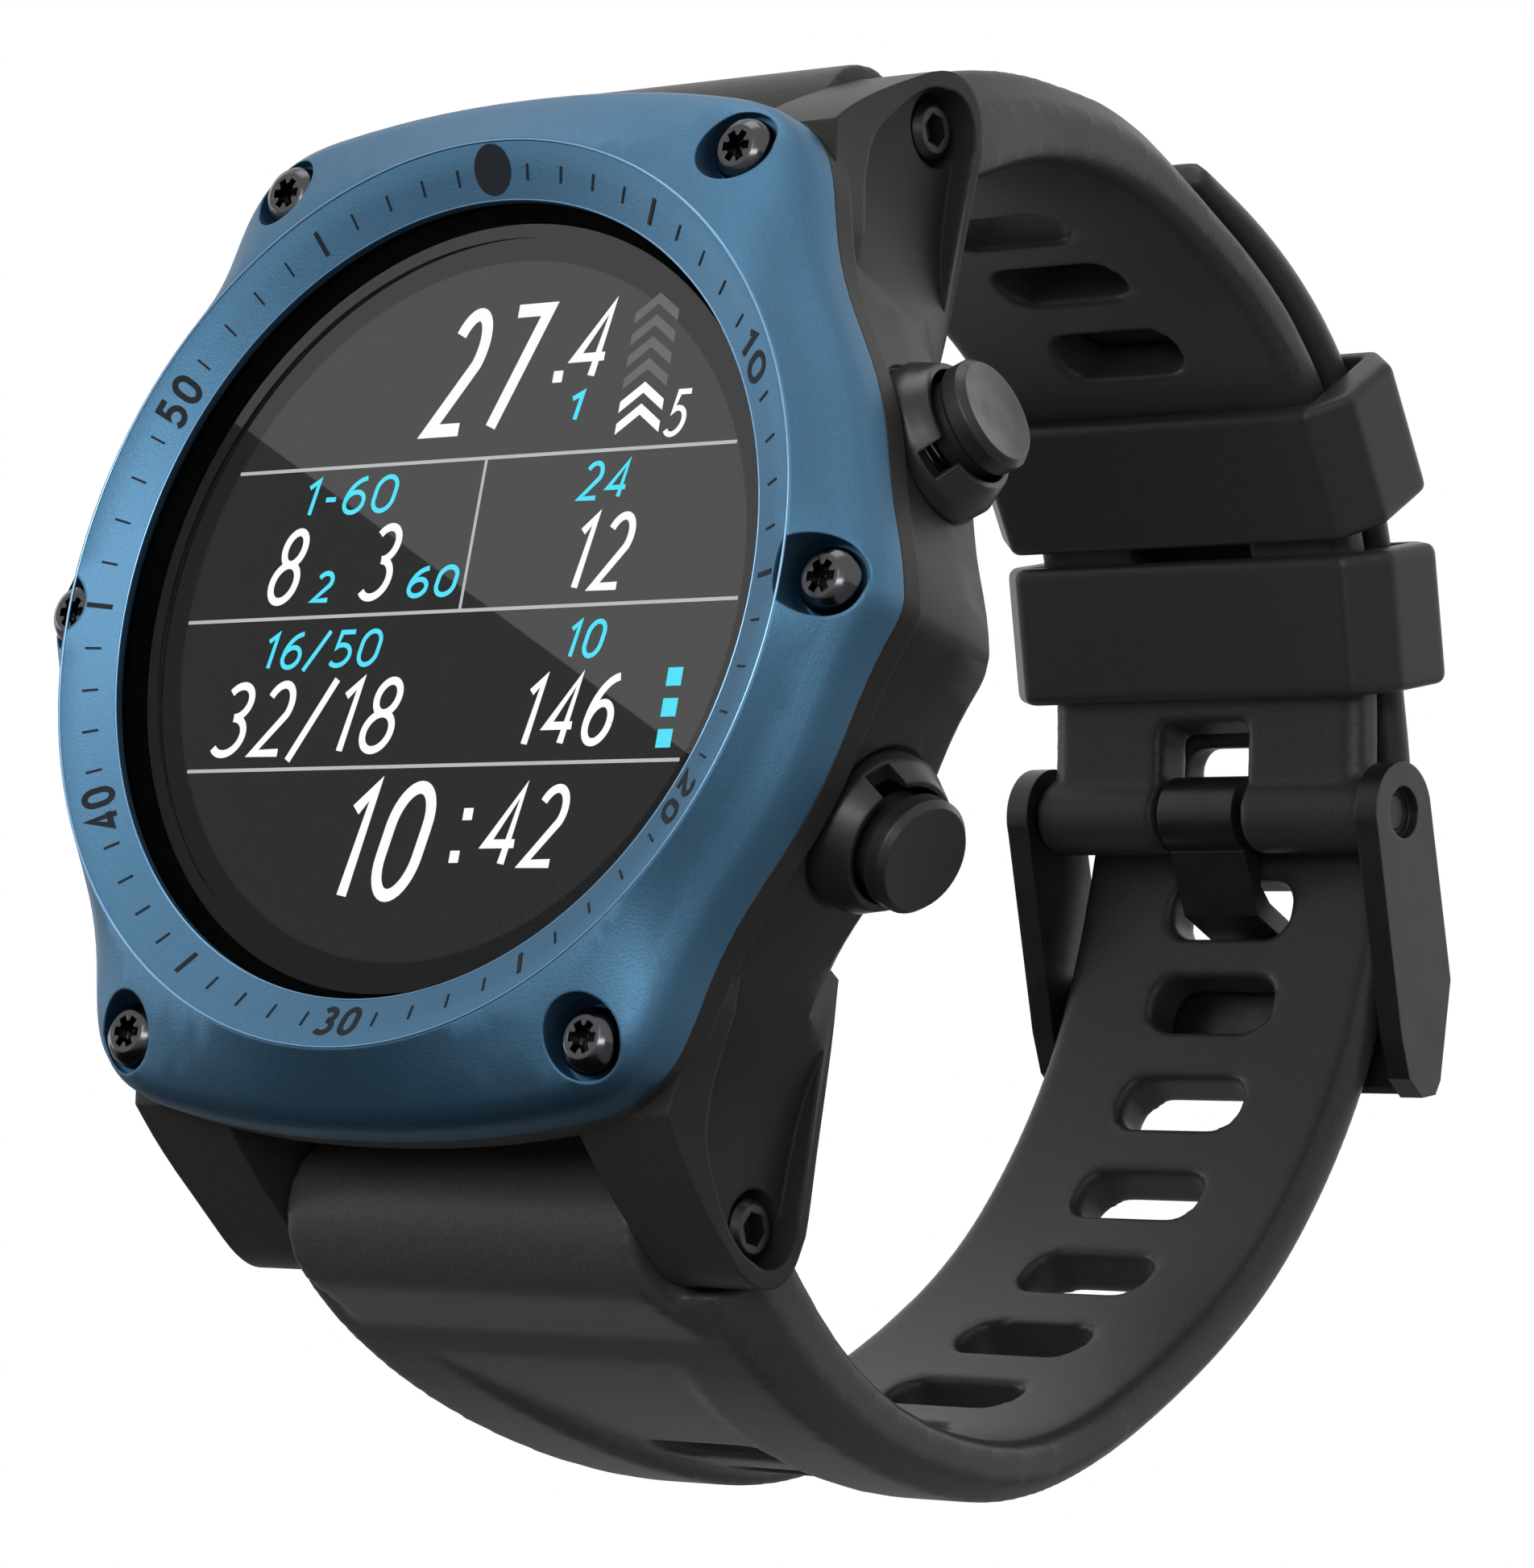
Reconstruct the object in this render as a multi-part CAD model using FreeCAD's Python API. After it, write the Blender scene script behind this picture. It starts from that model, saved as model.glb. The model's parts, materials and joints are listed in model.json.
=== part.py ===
"""Wrist dive computer: case, bezel, crystal, display, four push buttons, two-part strap and buckle.

Millimetres. Origin: centre of the case back's rear face, on the dial axis.
-Y looks out of the dial, +Y goes into the wrist, +Z is 12 o'clock, +X is 3 o'clock.
"""

import FreeCAD, Part
import math
import os

V = FreeCAD.Vector
DIAL_AXIS = V(0, 1, 0)

# ---------------------------------------------------------------- driving dimensions
CRYSTAL_R, CRYSTAL_FRONT, CRYSTAL_T = 21.2, -14.05, 1.2
# one quarter of the bezel's outline: degrees from 3 o'clock, and how far it stands outside the crystal
OUTLINE = [(0, 5.05), (4.9, 4.54), (11.49, 3.9), (20.82, 3.84), (29.55, 3.74), (38.05, 3.95),
           (44.38, 4.96), (48.77, 6.19), (52.89, 7.14), (57.59, 7.35), (64.45, 6.62), (75.89, 5.45),
           (90, 4.9)]
CREST_R, CREST_Y = CRYSTAL_R + 1.47, -15.76       # highest ring of the bezel
CHAPTER_R, CHAPTER_Y = CRYSTAL_R - 1.16, -14.48   # inner edge of the sloping minute ring
BEZEL_BACK = -11.0                        # bezel meets the case
LIP_BACK = -9.3                           # case lip, same outline as the bezel
RIM_GAP = 0.1                             # crystal and case spigot inside the bezel
MASK_W, MASK_T = 2.13, 0.1                # black ring printed on the crystal's back
GASKET_W, GASKET_T = 1.9, 0.4
SPIGOT_W = 2.2                            # wall of the case under the gasket
CAVITY_R = CRYSTAL_R - SPIGOT_W
FIT = 0.05                                # inner pieces and running fits, radially
DISPLAY_FRONT, DISPLAY_T = -12.2, 0.9
FRAME_GAP, FRAME_T, FRAME_PLATE, FRAME_END = 2.85, 0.95, 0.8, -2.6
FRAME_R = CAVITY_R - FRAME_GAP            # outside of the frame's wall
BOARD_FRONT, BOARD_T = -9.6, 0.8
BACK_LEDGE, BACK_T, BACK_SPIGOT = 0.95, 1.6, 0.7
BACK_R = CAVITY_R + BACK_LEDGE
SEAL_T, SEAL_GAP = 0.35, 0.1
SENSOR_Z, SENSOR_R, SENSOR_FLANGE = -(FRAME_R - 3.75), 2.2, 2.55
RIBBON_W, RIBBON_Z = 6.0, -(FRAME_R - 2.7)
CELL = (16.0, 5.0, 17.6)                  # battery along X, Y, Z
MOTOR_R, BUZZER_R, COIL_R = 3.6, 3.8, 9.5
# bezel screws: degrees from 3 o'clock and distance outside the crystal
SCREW_AT = [(0, 2.75), (56.25, 4.9), (123.75, 4.9), (180, 2.75), (236.25, 4.9), (303.75, 4.9)]
SCREW_POS = [((CRYSTAL_R + m) * math.cos(math.radians(a)), (CRYSTAL_R + m) * math.sin(math.radians(a)))
             for a, m in SCREW_AT]
SCREW_TOP, SCREW_SEAT, SCREW_TIP = -14.4, -13.0, -6.6
SCREW_HEAD_R, SCREW_R, POCKET_GAP = 1.65, 0.8, 0.3
# buttons stand radially at 23.2 degrees above and below 3 and 9 o'clock
BUTTON_ANGLE, BUTTON_Y = 23.16, -5.4
CAP_R, CAP_GAP, NECK_R, STEM_R = 2.82, 0.13, 2.45, 1.0
BUSH_IN = CAVITY_R + 1.6                  # guard: inner end, floor of its bore and rim
BUSH_FLOOR, BUSH_OUT = BUSH_IN + 2.8, BUSH_IN + 5.45
BUSH_BORE, BUSH_RIM_R, BUSH_R = CAP_R + CAP_GAP, CAP_R + CAP_GAP + 0.35, CAP_R + CAP_GAP + 1.0
NECK_IN, CAP_IN, CAP_OUT = BUSH_FLOOR + 1.9, BUSH_OUT + 0.4, BUSH_OUT + 1.7
STEM_IN = BUSH_IN - 2.1
SWITCH_BODY, SWITCH_NUB = 1.1, 0.35
RUN = 0.05                                # radial running clearance of pins and stems
# lugs and strap bars
LUG_IN = 11.2
BAR_Y, BAR_Z, BAR_R = -0.87, 27.58, 1.25
BARREL_R, BARREL_TOP_R = 4.1, 3.65          # of the 6 and 12 o'clock straps
LUG_FLOOR = 15.3                          # bottom of the lug's side recess
LUG_SCREW_FACE, LUG_SCREW_R, LUG_BORE_R, LUG_BORE_X = 15.37, 1.45, 1.9, 14.1
# buckle
PIN_Y, PIN_Z, PIN_R = 52.6, 8.1, 0.95
ROLL_R, PLATE_IN, PLATE_OUT, PLATE_END_R = 2.2, 11.15, 12.57, 2.8
TONGUE_HALF, TONGUE_GAP = 2.5, 2.95
SLOT_HALF, SLOT_H, SLOT_ROUND = 4.0, 1.7, 1.4
TAIL_GAP, TAIL_T, TAIL_TIP_T = 0.2, 2.45, 1.8
# wrist-side line of each strap: (y, z, thickness, half width)
UPPER = [(1.6, 25.3, 5.4, 13.8), (4.8, 26.9, 5.85, 13.6), (8.0, 28.9, 5.4, 13.2), (12.2, 31.0, 4.6, 12.6),
         (17.3, 32.5, 4.2, 12.1), (22.5, 33.0, 3.75, 11.6), (27.6, 32.6, 3.1, 11.2), (32.2, 31.7, 3.0, 10.9),
         (36.6, 30.2, 3.0, 10.7), (40.4, 28.0, 3.0, 10.55), (43.7, 25.05, 3.0, 10.45), (46.3, 21.5, 3.0, 10.45),
         (48.3, 17.6, 3.0, 10.45), (49.8, 13.5, 3.0, 10.45), (50.55, 11.0, 3.0, 10.45), (50.8, 9.4, 3.0, 10.45)]
LOWER = [(1.6, -26.0, 5.2, 14.3), (4.8, -28.1, 5.1, 14.1), (8.0, -29.85, 4.6, 13.7), (12.0, -31.4, 4.0, 13.1),
         (17.0, -32.5, 3.5, 12.5), (22.3, -32.75, 3.3, 12.0), (27.3, -32.25, 3.2, 11.5), (32.2, -30.8, 3.0, 11.0),
         (36.9, -28.2, 2.9, 10.8), (41.2, -25.0, 2.9, 10.6), (45.1, -21.5, 2.9, 10.5), (48.4, -17.7, 2.9, 10.45),
         (51.0, -13.5, 2.9, 10.45), (53.0, -9.1, 2.9, 10.45), (54.4, -4.5, 2.9, 10.45), (55.1, 0.2, 2.9, 10.45),
         (55.35, 4.6, 2.8, 10.45), (55.2, 8.4, 2.6, 10.45), (54.35, 12.0, 2.5, 10.45)]
STRAP_STEP = 4.6                          # spacing of the sections the straps are lofted through
LOWER_SLOTS = [(18.3, -32.6), (24.6, -32.9), (30.9, -31.4), (36.8, -28.3), (42.2, -24.2), (47.0, -19.6),
               (50.7, -14.3), (53.3, -8.4), (55.0, -2.3), (55.3, 3.4), (54.7, 10.9), (52.3, 16.9)]
UPPER_SLOTS = [(25.0, 33.4), (31.0, 32.6), (37.0, 30.3), (42.1, 26.6), (46.4, 21.6)]
KEEPER_LEN, KEEPER_HALF, KEEPER_WALL, KEEPER_ROUND = 7.9, 13.05, 1.1, 0.55
KEEPER_IN, KEEPER_OUT, KEEPER_SIDE = 0.65, 0.15, 0.3  # room between straps and keeper
KEEPER_AT = {"lower": (48.25, 17.75), "upper": (43.45, 25.35)}
LUG_TIP = [(-10.4, 24.4), (-8.2, 26.3), (-6.2, 27.7), (-4.0, 29.1), (-2.2, 30.1), (-0.8, 30.4), (0.4, 30.1),
           (1.25, 29.2), (1.6, 27.6), (1.5, 24.5), (1.35, 21.0), (1.2, 17.8), (0.9, 15.0)]
LUG_BACK_X, LUG_MID_X, LUG_MID_Y = 16.5, 18.7, -6.5   # the lugs' outer faces draw in towards the back
LUG_ROOM = 0.35                           # strap shoulder to lug
CHANNEL_HALF = [8.6, 7.4, 6.0, 5.3, 5.0, 4.9, 4.9, 4.9, 4.9]   # channel down the long strap's outer face
CHANNEL_DEPTH = [-0.25, 0.2, 0.55, 0.75, 0.8, 0.75, 0.6, 0.2, -0.25]


# ---------------------------------------------------------------- plain helpers
def turned(points):
    """Solid of revolution about the dial axis from (radius, y) corners."""
    wire = Part.makePolygon([V(r, y, 0) for r, y in points + points[:1]])
    return Part.Face(wire).revolve(V(0, 0, 0), DIAL_AXIS, 360)


def turned_x(points, y, z=0.0):
    """Solid of revolution about a line along X through (y, z), from (x, radius) corners."""
    wire = Part.makePolygon([V(x, y + r, z) for x, r in points + points[:1]])
    return Part.Face(wire).revolve(V(0, y, z), V(1, 0, 0), 360)


def disc(r, y0, y1, x=0.0, z=0.0):
    return Part.makeCylinder(r, y1 - y0, V(x, y0, z), DIAL_AXIS)


def ring(r_out, r_in, y0, y1):
    return disc(r_out, y0, y1).cut(disc(r_in, y0, y1))


def rod_x(r, x0, x1, y, z):
    return Part.makeCylinder(r, x1 - x0, V(x0, y, z), V(1, 0, 0))


def block(x0, x1, y0, y1, z0, z1):
    return Part.makeBox(x1 - x0, y1 - y0, z1 - z0, V(x0, y0, z0))


def prism_x(points, x0, x1):
    """(y, z) corners pushed along X."""
    wire = Part.makePolygon([V(x0, y, z) for y, z in points + points[:1]])
    return Part.Face(wire).extrude(V(x1 - x0, 0, 0))


def prism_y(points, y0, y1):
    """(x, z) corners pushed along Y."""
    wire = Part.makePolygon([V(x, y0, z) for x, z in points + points[:1]])
    return Part.Face(wire).extrude(V(0, y1 - y0, 0))


def curve(points, closed=False):
    bs = Part.BSplineCurve()
    bs.interpolate(Points=points, PeriodicFlag=closed)
    return bs.toShape()


def both_sides(shape):
    return shape.fuse(shape.mirror(V(0, 0, 0), V(1, 0, 0)))


def mirror_z(shape):
    return shape.mirror(V(0, 0, 0), V(0, 0, 1))


def save(name, shape):
    if shape.ShapeType == "Compound" and len(shape.Solids) == 1:
        shape = shape.Solids[0]
    shape.exportStep("parts/%s.step" % name)


# ---------------------------------------------------------------- case outline
def full_outline():
    """Corners (x, z) of the whole outline, counter-clockwise from 3 o'clock."""
    half = OUTLINE + [(180 - a, m) for a, m in OUTLINE[-2::-1]]
    return [((CRYSTAL_R + m) * math.cos(math.radians(a)), (CRYSTAL_R + m) * math.sin(math.radians(a)))
            for a, m in half + [(360 - a, m) for a, m in half[-2:0:-1]]]


def outline_wire(y, shift=0.0, radius=None):
    """The outline drawn in by shift, or a circle with the same corners so both can be lofted."""
    pts = []
    for x, z in full_outline():
        r = math.hypot(x, z)
        k = (radius if radius else r - shift) / r
        pts.append(V(x * k, y, z * k))
    return Part.Wire([curve(pts, True)])


def outline_solid(sections):
    return Part.makeLoft([outline_wire(*s) for s in sections], True, True)


# ---------------------------------------------------------------- bezel and dial stack
def six_lobe(x, z, y0, y1, size):
    tool = disc(size * 0.66, y0, y1, x, z)
    for k in range(3):
        arm = block(-size, size, y0, y1, -size * 0.27, size * 0.27)
        arm.rotate(V(0, 0, 0), DIAL_AXIS, 60 * k)
        arm.translate(V(x, 0, z))
        tool = tool.fuse(arm)
    return tool


def make_bezel():
    body = outline_solid([(CREST_Y, 0, CREST_R + 0.12), (-13.95, 1.05), (-13.45, 0.45), (-12.9, 0.12),
                          (-12.2, 0.0), (BEZEL_BACK, 0.0)])
    inside = turned([(0, CREST_Y - 1), (CREST_R, CREST_Y - 1), (CREST_R, CREST_Y), (CHAPTER_R, CHAPTER_Y),
                     (CHAPTER_R, CRYSTAL_FRONT), (CRYSTAL_R + RIM_GAP, CRYSTAL_FRONT),
                     (CRYSTAL_R + RIM_GAP, BEZEL_BACK + 1), (0, BEZEL_BACK + 1)])
    body = body.cut(inside)
    for x, z in SCREW_POS:
        body = body.cut(disc(SCREW_HEAD_R + POCKET_GAP, CREST_Y - 2, SCREW_SEAT, x, z))
        body = body.cut(disc(SCREW_R + RUN, SCREW_SEAT - 1, BEZEL_BACK + 1, x, z))
    return body


def make_bezel_screws():
    screws = []
    for x, z in SCREW_POS:
        s = turned([(0, SCREW_TOP), (1.05, SCREW_TOP), (1.35, SCREW_TOP + 0.16), (1.55, SCREW_TOP + 0.45),
                    (SCREW_HEAD_R, SCREW_TOP + 0.9), (SCREW_HEAD_R, SCREW_SEAT), (SCREW_R, SCREW_SEAT),
                    (SCREW_R, SCREW_TIP), (0, SCREW_TIP)])
        s.translate(V(x, 0, z))
        screws.append(s.cut(six_lobe(x, z, SCREW_TOP - 1, SCREW_TOP + 0.95, 0.8)))
    return Part.makeCompound(screws)


def make_crystal():
    back = CRYSTAL_FRONT + CRYSTAL_T
    return turned([(0, CRYSTAL_FRONT), (CRYSTAL_R - 0.2, CRYSTAL_FRONT), (CRYSTAL_R, CRYSTAL_FRONT + 0.2),
                   (CRYSTAL_R, back), (0, back)])


def dial_stack():
    rear = CRYSTAL_FRONT + CRYSTAL_T
    seat = rear + MASK_T
    save("display_mask", ring(CRYSTAL_R - 0.2, CRYSTAL_R - 0.2 - MASK_W, rear, seat))
    save("crystal_gasket", ring(CRYSTAL_R - FIT, CRYSTAL_R - FIT - GASKET_W, seat, seat + GASKET_T))
    save("display_panel", disc(CAVITY_R - 2 * FIT, DISPLAY_FRONT, DISPLAY_FRONT + DISPLAY_T))


# ---------------------------------------------------------------- case body
def lug_pair(sign):
    """The two lugs at one end, before the strap gap and recess are cut."""
    edge = curve([V(LUG_IN, y, z) for y, z in LUG_TIP])
    inner = Part.makePolygon([V(LUG_IN, *LUG_TIP[-1]), V(LUG_IN, -5.0, 14.0), V(LUG_IN, -10.4, 19.0),
                              V(LUG_IN, *LUG_TIP[0])])
    side = Part.Face(Part.Wire([edge] + inner.Edges)).extrude(V(8, 0, 0))
    limit = [(11, 12), (18.6, 12), (18.3, 19), (17.45, 22), (16.85, 25), (16.4, 28), (16.1, 32), (11, 32)]
    lug = side.common(prism_y(limit, -12, 4))
    taper = [(LUG_MID_X, LUG_MID_Y), (LUG_BACK_X, 1.0), (LUG_BACK_X, 4), (25, 4), (25, LUG_MID_Y)]
    taper = Part.Face(Part.makePolygon([V(x, y, 5) for x, y in taper + taper[:1]])).extrude(V(0, 0, 40))
    lug = lug.cut(taper)
    pair = both_sides(lug)
    return pair if sign > 0 else mirror_z(pair)


def side_recess():
    """The hollow on the outer side of one lug, +X +Z corner."""
    front = [(24.4, 9.6), (21.6, 13.6), (18.5, 17.0), (16.5, 20.2), (15.6, 23.2), (LUG_FLOOR, 26.0), (LUG_FLOOR, 33.0)]
    back = [(22.6, 8.8), (20.0, 12.6), (17.6, 16.2), (16.1, 19.8), (15.5, 23.2), (LUG_FLOOR, 26.0), (LUG_FLOOR, 33.0)]
    wires = []
    for y in (-12.0, 8.0):
        f = (y + 8.7) / 9.7                # front floor at y -8.7, back floor at y 1.0
        pts = [V(a + (c - a) * f, y, b + (d - b) * f) for (a, b), (c, d) in zip(front, back)]
        rest = Part.makePolygon([pts[-1], V(34, y, pts[-1].z), V(34, y, pts[0].z), pts[0]])
        wires.append(Part.Wire([curve(pts)] + rest.Edges))
    plan = Part.makeLoft(wires, True, True)
    rim = [(-8.7, 15.2), (-8.5, 18.0), (-8.1, 21.5), (-7.3, 24.6), (-5.6, 26.7), (-4.0, 28.2), (-2.3, 29.2),
           (-0.9, 29.3), (0.3, 28.7), (0.8, 27.2), (0.75, 24.0), (0.55, 20.8), (0.5, 18.2), (0.9, 15.8),
           (1.9, 13.4), (2.2, 11.6)]
    path = [V(10, y, z) for y, z in rim]
    window = Part.Face(Part.Wire([curve(path), Part.makeLine(path[-1], path[0])])).extrude(V(25, 0, 0))
    return plan.common(window)


def button_place(shape, k):
    """Turn a shape built along +X to button k: 0 upper right, 1 upper left, 2 lower left, 3 lower right."""
    a = [-BUTTON_ANGLE, 180 + BUTTON_ANGLE, 180 - BUTTON_ANGLE, BUTTON_ANGLE][k]
    shape = shape.copy()
    shape.rotate(V(0, 0, 0), DIAL_AXIS, a)
    return shape


def make_case():
    body = outline_solid([(BEZEL_BACK, 0.0), (LIP_BACK - 0.35, 0.0), (LIP_BACK, 0.35), (LIP_BACK + 0.3, 0.6),
                          (-5.0, 0.85), (-2.4, 1.3), (-0.9, 2.5), (-0.1, 4.3)])
    seat = CRYSTAL_FRONT + CRYSTAL_T + MASK_T + GASKET_T
    body = body.fuse(ring(CRYSTAL_R - FIT, CAVITY_R, seat, BEZEL_BACK + 0.5))
    body = body.fuse(lug_pair(1)).fuse(lug_pair(-1))
    gap = rod_x(BARREL_R + 0.3, -LUG_IN, LUG_IN, BAR_Y, BAR_Z)
    gap = gap.fuse(block(-LUG_IN, LUG_IN, LIP_BACK, 4, BAR_Z - 3.4, BAR_Z + 5))
    gap = gap.fuse(block(-LUG_IN, LUG_IN, -2, 4, BAR_Z - 4.7, BAR_Z + 5))
    recess = side_recess()
    recess = recess.fuse(recess.mirror(V(0, 0, 0), V(1, 0, 0)))
    for shape in (gap, recess):
        body = body.cut(shape).cut(mirror_z(shape))
    for z in (BAR_Z, -BAR_Z):
        body = body.cut(rod_x(BAR_R, -20, 20, BAR_Y, z))
        for s in (1, -1):
            body = body.cut(rod_x(LUG_BORE_R, LUG_BORE_X * s if s > 0 else -20, 20 if s > 0 else -LUG_BORE_X,
                                  BAR_Y, z))
    body = body.cut(disc(CAVITY_R, -13, 1)).cut(disc(BACK_R + FIT, -BACK_T - SEAL_T, 5))
    for x, z in SCREW_POS:
        body = body.cut(disc(SCREW_R, BEZEL_BACK - 1, SCREW_TIP, x, z))
    for k in range(4):
        hole = rod_x(BUSH_R, BUSH_IN, CAP_OUT + 2, BUTTON_Y, 0)
        hole = hole.fuse(rod_x(STEM_R + 0.6, CAVITY_R - 2, BUSH_IN, BUTTON_Y, 0))
        hole = hole.fuse(rod_x(BUSH_R + 0.22, BUSH_FLOOR + 0.3, CAP_OUT + 2, BUTTON_Y, 0))
        body = body.cut(button_place(hole, k))
    return body


def make_case_back():
    inner = -BACK_T - BACK_SPIGOT
    back = turned([(0, inner), (CAVITY_R - FIT, inner), (CAVITY_R - FIT, -BACK_T),
                   (BACK_R, -BACK_T), (BACK_R, -0.25), (BACK_R - 0.25, 0), (0, 0)])
    for k in range(6):
        notch = block(BACK_R - 2.15, BACK_R + 1, -0.8, 1, -1.1, 1.1)
        notch.rotate(V(0, 0, 0), DIAL_AXIS, 60 * k + 30)
        back = back.cut(notch)
    back = back.cut(disc(SENSOR_R + FIT, -4, -0.8, 0, SENSOR_Z))
    for k in range(6):
        a = math.radians(60 * k)
        back = back.cut(disc(0.35, -1, 1, 1.2 * math.cos(a), SENSOR_Z + 1.2 * math.sin(a)))
    return back


def make_frame():
    """Carrier behind the display, with a wall that holds board, battery and switches."""
    top = DISPLAY_FRONT + DISPLAY_T
    part = disc(CAVITY_R - FIT, top, top + FRAME_PLATE).fuse(ring(FRAME_R, FRAME_R - FRAME_T, top, FRAME_END))
    half = RIBBON_W / 2 + 0.2
    return part.cut(block(-half, half, top - 1, top + 2, RIBBON_Z - 0.35, RIBBON_Z + 0.25))


def make_board_parts():
    chips = [(-9, -3, 2, 8, 0.8), (1, 8, 1, 8, 0.7), (-8, -2, -8, -3, 0.6), (2, 6, -7, -3, 0.75),
             (9, 12, -3, 1, 0.55)]
    return Part.makeCompound([block(x0, x1, BOARD_FRONT - h, BOARD_FRONT, z0, z1)
                              for x0, x1, z0, z1, h in chips])


def inner_parts():
    board_r, board_back = FRAME_R - FRAME_T - FIT, BOARD_FRONT + BOARD_T
    save("display_frame", make_frame())
    save("main_board", disc(board_r, BOARD_FRONT, board_back)
         .cut(block(-RIBBON_W / 2 - 0.2, RIBBON_W / 2 + 0.2, -11, -8, RIBBON_Z - 0.15, RIBBON_Z + 0.15)))
    save("board_parts", make_board_parts())
    save("display_ribbon", block(-RIBBON_W / 2, RIBBON_W / 2, DISPLAY_FRONT + DISPLAY_T, board_back,
                                 RIBBON_Z - 0.1, RIBBON_Z + 0.1))
    cell = block(4 - CELL[0], 4, -3.4 - CELL[1], -3.4, -CELL[2] / 2, CELL[2] / 2)
    save("battery", cell.makeFillet(1.0, [e for e in cell.Edges if abs(e.Vertexes[0].Y - e.Vertexes[1].Y) > 1]))
    save("vibration_motor", disc(MOTOR_R, board_back, board_back + 2.9, board_r - MOTOR_R - 2, MOTOR_R + 1.4))
    save("buzzer", disc(BUZZER_R, board_back, board_back + 1.9, board_r - BUZZER_R - 2, -BUZZER_R - 1.6))
    back = -BACK_T - BACK_SPIGOT
    save("charging_coil", ring(COIL_R, COIL_R - 4.3, back - 0.5, back))
    save("ferrite_sheet", disc(COIL_R + 0.3, back - 0.9, back - 0.5))
    save("depth_sensor", disc(SENSOR_R, -3.4, -0.8, 0, SENSOR_Z).fuse(disc(SENSOR_FLANGE, -3.9, -3.4, 0, SENSOR_Z)))


# ---------------------------------------------------------------- buttons
def make_bush(k):
    y = BUTTON_Y
    bush = turned_x([(BUSH_IN, STEM_R + RUN), (BUSH_IN, BUSH_R), (BUSH_OUT - 1.35, BUSH_R),
                     (BUSH_OUT - 0.1, BUSH_RIM_R),
                     (BUSH_OUT, BUSH_RIM_R - 0.1), (BUSH_OUT, BUSH_BORE), (BUSH_FLOOR, BUSH_BORE),
                     (BUSH_FLOOR, STEM_R + RUN)], y)
    toward = -1 if k in (0, 2) else 1
    notch = block(BUSH_OUT - 1.15, BUSH_OUT + 2, y - BUSH_R - 1, y, -0.75, 0.75)
    notch.rotate(V(0, y, 0), V(1, 0, 0), 45 * toward * -1)
    return button_place(bush.cut(notch), k)


def make_button(k):
    cap = turned_x([(STEM_IN, 0), (STEM_IN, STEM_R), (NECK_IN, STEM_R), (NECK_IN, NECK_R), (CAP_IN, NECK_R),
                    (CAP_IN, CAP_R - 0.1), (CAP_IN + 0.15, CAP_R), (CAP_OUT - 0.35, CAP_R),
                    (CAP_OUT, CAP_R - 0.3), (CAP_OUT - 0.1, 1.3), (CAP_OUT - 0.12, 0)], BUTTON_Y)
    groove = turned_x([(STEM_IN + 1.1, STEM_R - 0.3), (STEM_IN + 1.1, STEM_R + 1), (STEM_IN + 1.5, STEM_R + 1),
                       (STEM_IN + 1.5, STEM_R - 0.3)], BUTTON_Y)
    return button_place(cap.cut(groove), k)


def make_clip(k):
    y = BUTTON_Y
    clip = rod_x(STEM_R + 0.5, STEM_IN + 1.12, STEM_IN + 1.48, y, 0)
    clip = clip.cut(rod_x(STEM_R - 0.3, STEM_IN, STEM_IN + 3, y, 0))
    clip = clip.cut(block(STEM_IN, STEM_IN + 3, y - 0.45, y + 0.45, 0, 3))
    return button_place(clip, k)


def make_spring(k):
    """Coil from the guard's floor to the neck, drawn along +X and then turned to its button."""
    r, wire, turns = 1.75, 0.16, 3.5
    start, end = BUSH_FLOOR + wire + 0.01, NECK_IN - wire - 0.01
    steps = int(turns * 12)
    path = [V(start + (end - start) * i / steps, BUTTON_Y + r * math.cos(math.pi * i / 6),
              r * math.sin(math.pi * i / 6)) for i in range(steps + 1)]
    line = Part.BSplineCurve()
    line.interpolate(path)
    section = Part.Wire([Part.makeCircle(wire, path[0], line.tangent(line.FirstParameter)[0])])
    coil = Part.Wire([line.toShape()]).makePipeShell([section], True, True)
    return button_place(coil, k)


def make_switches():
    face = FRAME_R + SWITCH_BODY
    box = block(FRAME_R, face, BUTTON_Y - 1.5, BUTTON_Y + 1.5, -1.5, 1.5)
    box = box.fuse(rod_x(0.6, face, face + SWITCH_NUB, BUTTON_Y, 0))
    return Part.makeCompound([button_place(box, k) for k in range(4)])


def buttons():
    for k, name in enumerate(("upper_right", "upper_left", "lower_left", "lower_right")):
        save("guard_" + name, make_bush(k))
        save("button_" + name, make_button(k))
        save("clip_" + name, make_clip(k))
        save("spring_" + name, make_spring(k))
    save("button_switches", make_switches())


# ---------------------------------------------------------------- straps
class StrapLine:
    """Smooth wrist-side line of a strap, with its thickness and half width along it."""

    def __init__(self, line, side):
        self.side = side
        self.curve = Part.BSplineCurve()
        self.curve.interpolate([V(0, y, z) for y, z, t, w in line])
        self.at = [self.curve.parameter(V(0, y, z)) for y, z, t, w in line]
        self.sizes = [(t, w) for y, z, t, w in line]

    def station(self, y, z):
        """Point, direction along, direction outwards, thickness and half width nearest (y, z)."""
        u = self.curve.parameter(V(0, y, z))
        j = max(i for i in range(len(self.at) - 1) if self.at[i] <= u or i == 0)
        f = (u - self.at[j]) / (self.at[j + 1] - self.at[j])
        t, w = (a + (b - a) * f for a, b in zip(self.sizes[j], self.sizes[j + 1]))
        along = self.curve.tangent(u)[0]
        return self.curve.value(u), along, V(0, -along.z, along.y) * self.side, t, w

    def stations(self):
        n = int(round(self.curve.length() / STRAP_STEP)) + 1
        return [self.station(p.y, p.z) for p in self.curve.discretize(Number=n)]


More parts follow.
